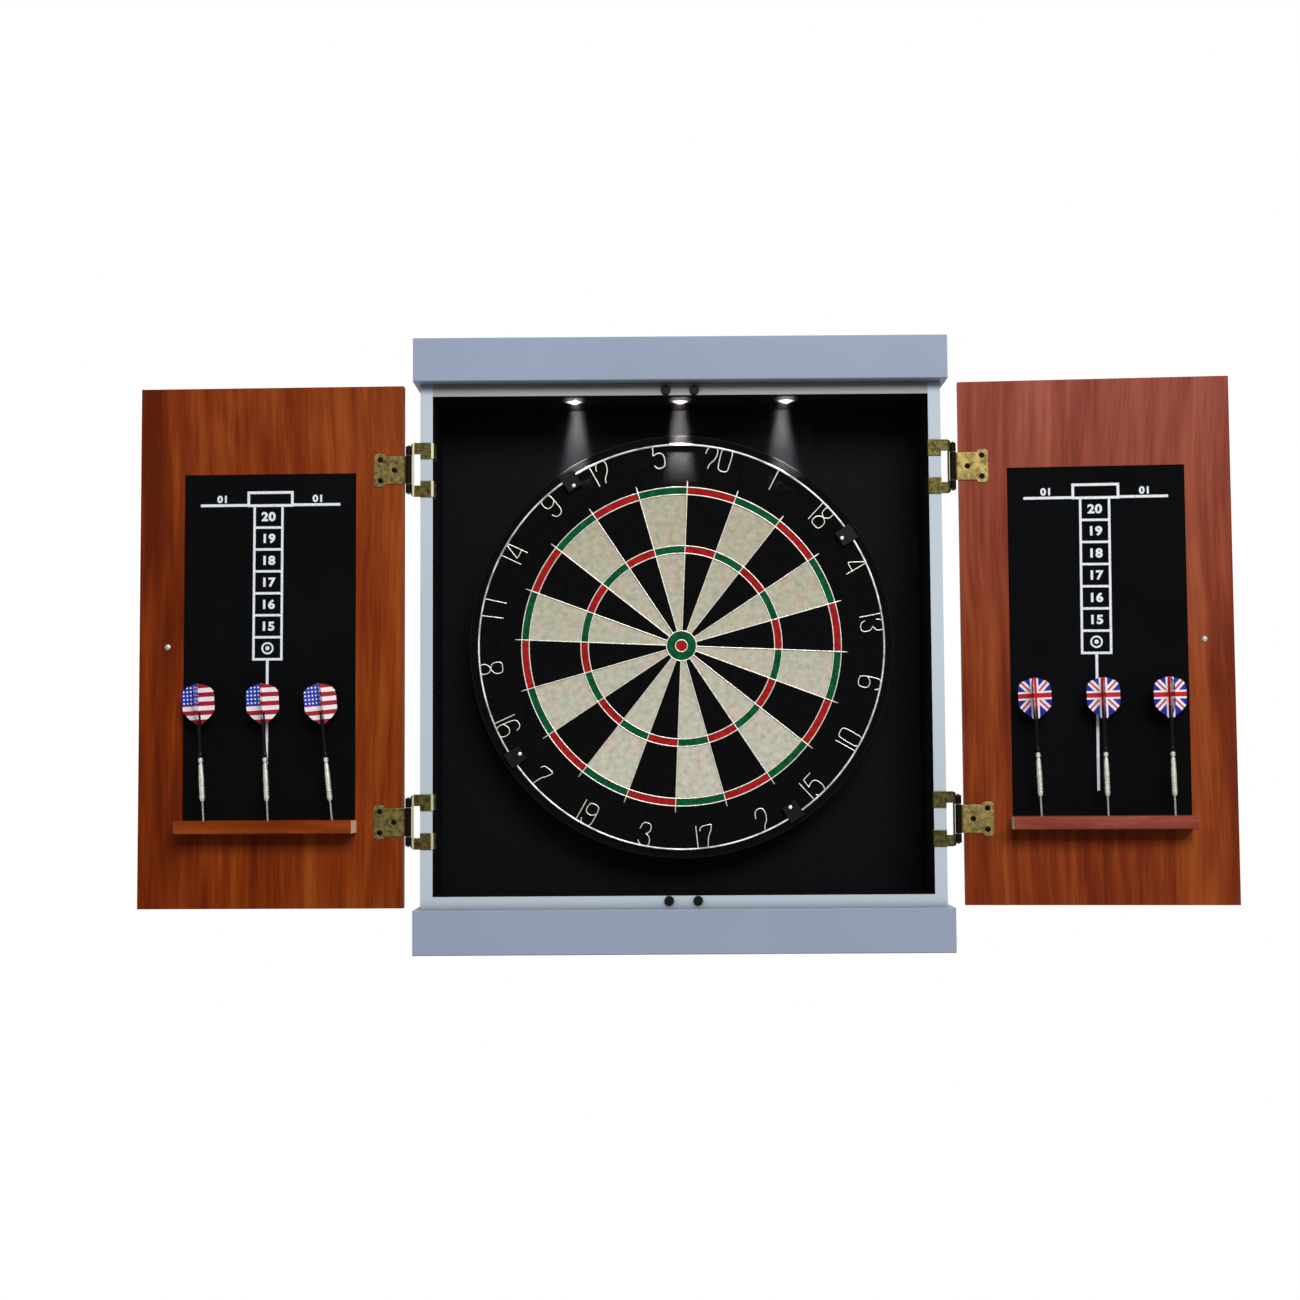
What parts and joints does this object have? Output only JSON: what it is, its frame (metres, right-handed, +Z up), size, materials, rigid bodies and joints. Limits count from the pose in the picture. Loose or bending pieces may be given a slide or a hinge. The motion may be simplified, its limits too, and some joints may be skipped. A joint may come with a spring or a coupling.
{
  "type": "dart board cabinet",
  "caption": "Wall-hung dart board cabinet with two hinged doors, chalk scoreboards, dart shelves, lamps and a bristle board.",
  "frame": {"origin": "centre of the cabinet's back face, on the wall", "axes": "+X to the right seen from the room, +Y into the wall, +Z up; the doors rest open"},
  "size_m": [1.1379, 0.1487, 0.641],
  "materials": {
    "cabinet_paint": "satin painted MDF",
    "panel_paint": "satin painted MDF, black inside",
    "back_paint": "black painted hardboard",
    "door_veneer": "cherry laminate, satin",
    "chalkboard": "matt chalkboard paint",
    "shelf_veneer": "cherry laminate, satin",
    "antique_brass": "antique brass plate",
    "dark_screw_steel": "browned steel",
    "pin_steel": "bright steel",
    "magnet_plastic": "black",
    "lamp_metal": "satin nickel",
    "lamp_lens": "frosted, lit",
    "battery_plastic": "black tray, dark cells",
    "board_fibre": "compressed sisal, printed",
    "board_backing": "raw chipboard",
    "rim_band": "black band",
    "spider_wire": "galvanised wire",
    "ring_wire": "galvanised wire",
    "clip_plastic": "black",
    "dart_brass": "turned brass, nickel washed",
    "dart_steel": "polished steel",
    "stem_plastic": "black",
    "left_flight_film": "red, white and blue film",
    "right_flight_film": "blue, white and red film"
  },
  "bodies": {
    "cabinet": {"top_cap": "cabinet_paint", "bottom_cap": "cabinet_paint", "left_side_panel": "panel_paint", "right_side_panel": "panel_paint", "top_panel": "panel_paint", "bottom_panel": "panel_paint", "back_panel": "back_paint", "lamp_housings": "lamp_metal", "lamp_lenses": "lamp_lens", "battery_pack": "battery_plastic", "catch_magnets": "magnet_plastic", "frame_hinge_leaves": "antique_brass", "hinge_pins": "pin_steel", "cabinet_screws": "dark_screw_steel", "board_bracket": "pin_steel"},
    "dartboard": {"board_backing": "board_backing", "board_face": "board_fibre", "board_rim": "rim_band", "spider": "spider_wire", "ring_clips": "clip_plastic", "centre_screw": "pin_steel"},
    "number_ring": {"number_ring": "ring_wire"},
    "left_door": {"left_door_panel": "door_veneer", "left_scoreboard": "chalkboard", "left_shelf": "shelf_veneer", "left_knob": "antique_brass", "left_knob_screw": "pin_steel", "left_door_hinge_leaves": "antique_brass", "left_door_hinge_screws": "dark_screw_steel"},
    "right_door": {"right_door_panel": "door_veneer", "right_scoreboard": "chalkboard", "right_shelf": "shelf_veneer", "right_knob": "antique_brass", "right_knob_screw": "pin_steel", "right_door_hinge_leaves": "antique_brass", "right_door_hinge_screws": "dark_screw_steel"},
    "left_dart_1": {"left_dart_1_point": "dart_steel", "left_dart_1_barrel": "dart_brass", "left_dart_1_stem": "stem_plastic", "left_dart_1_flight": "left_flight_film"},
    "left_dart_2": {"left_dart_2_point": "dart_steel", "left_dart_2_barrel": "dart_brass", "left_dart_2_stem": "stem_plastic", "left_dart_2_flight": "left_flight_film"},
    "left_dart_3": {"left_dart_3_point": "dart_steel", "left_dart_3_barrel": "dart_brass", "left_dart_3_stem": "stem_plastic", "left_dart_3_flight": "left_flight_film"},
    "right_dart_1": {"right_dart_1_point": "dart_steel", "right_dart_1_barrel": "dart_brass", "right_dart_1_stem": "stem_plastic", "right_dart_1_flight": "right_flight_film"},
    "right_dart_2": {"right_dart_2_point": "dart_steel", "right_dart_2_barrel": "dart_brass", "right_dart_2_stem": "stem_plastic", "right_dart_2_flight": "right_flight_film"},
    "right_dart_3": {"right_dart_3_point": "dart_steel", "right_dart_3_barrel": "dart_brass", "right_dart_3_stem": "stem_plastic", "right_dart_3_flight": "right_flight_film"}
  },
  "joints": [
    {"name": "left_door_swing", "type": "hinge", "parent": "cabinet", "child": "left_door", "pos_m": [-0.285, -0.0956, 0], "axis": [0, 0, 1], "range_deg": [-10, 182]},
    {"name": "right_door_swing", "type": "hinge", "parent": "cabinet", "child": "right_door", "pos_m": [0.285, -0.0956, 0], "axis": [0, 0, -1], "range_deg": [-17, 175]},
    {"name": "board_turn", "type": "hinge", "parent": "cabinet", "child": "dartboard", "pos_m": [0, -0.0155, 0], "axis": [0, -1, 0], "continuous": true},
    {"name": "number_ring_turn", "type": "hinge", "parent": "dartboard", "child": "number_ring", "pos_m": [0, -0.0535, 0], "axis": [0, -1, 0], "continuous": true},
    {"name": "left_dart_1_lift", "type": "slide", "parent": "left_door", "child": "left_dart_1", "axis": [-0.0523, 0.0018, 0.9986], "range_m": [0, 0.03]},
    {"name": "left_dart_2_lift", "type": "slide", "parent": "left_door", "child": "left_dart_2", "axis": [-0.0523, 0.0018, 0.9986], "range_m": [0, 0.03]},
    {"name": "left_dart_3_lift", "type": "slide", "parent": "left_door", "child": "left_dart_3", "axis": [-0.1045, 0.0036, 0.9945], "range_m": [0, 0.03]},
    {"name": "right_dart_1_lift", "type": "slide", "parent": "right_door", "child": "right_dart_1", "axis": [-0.04, 0.0035, 0.9992], "range_m": [0, 0.03]},
    {"name": "right_dart_2_lift", "type": "slide", "parent": "right_door", "child": "right_dart_2", "axis": [-0.0226, 0.002, 0.9997], "range_m": [0, 0.03]},
    {"name": "right_dart_3_lift", "type": "slide", "parent": "right_door", "child": "right_dart_3", "axis": [-0.0226, 0.002, 0.9997], "range_m": [0, 0.03]}
  ]
}
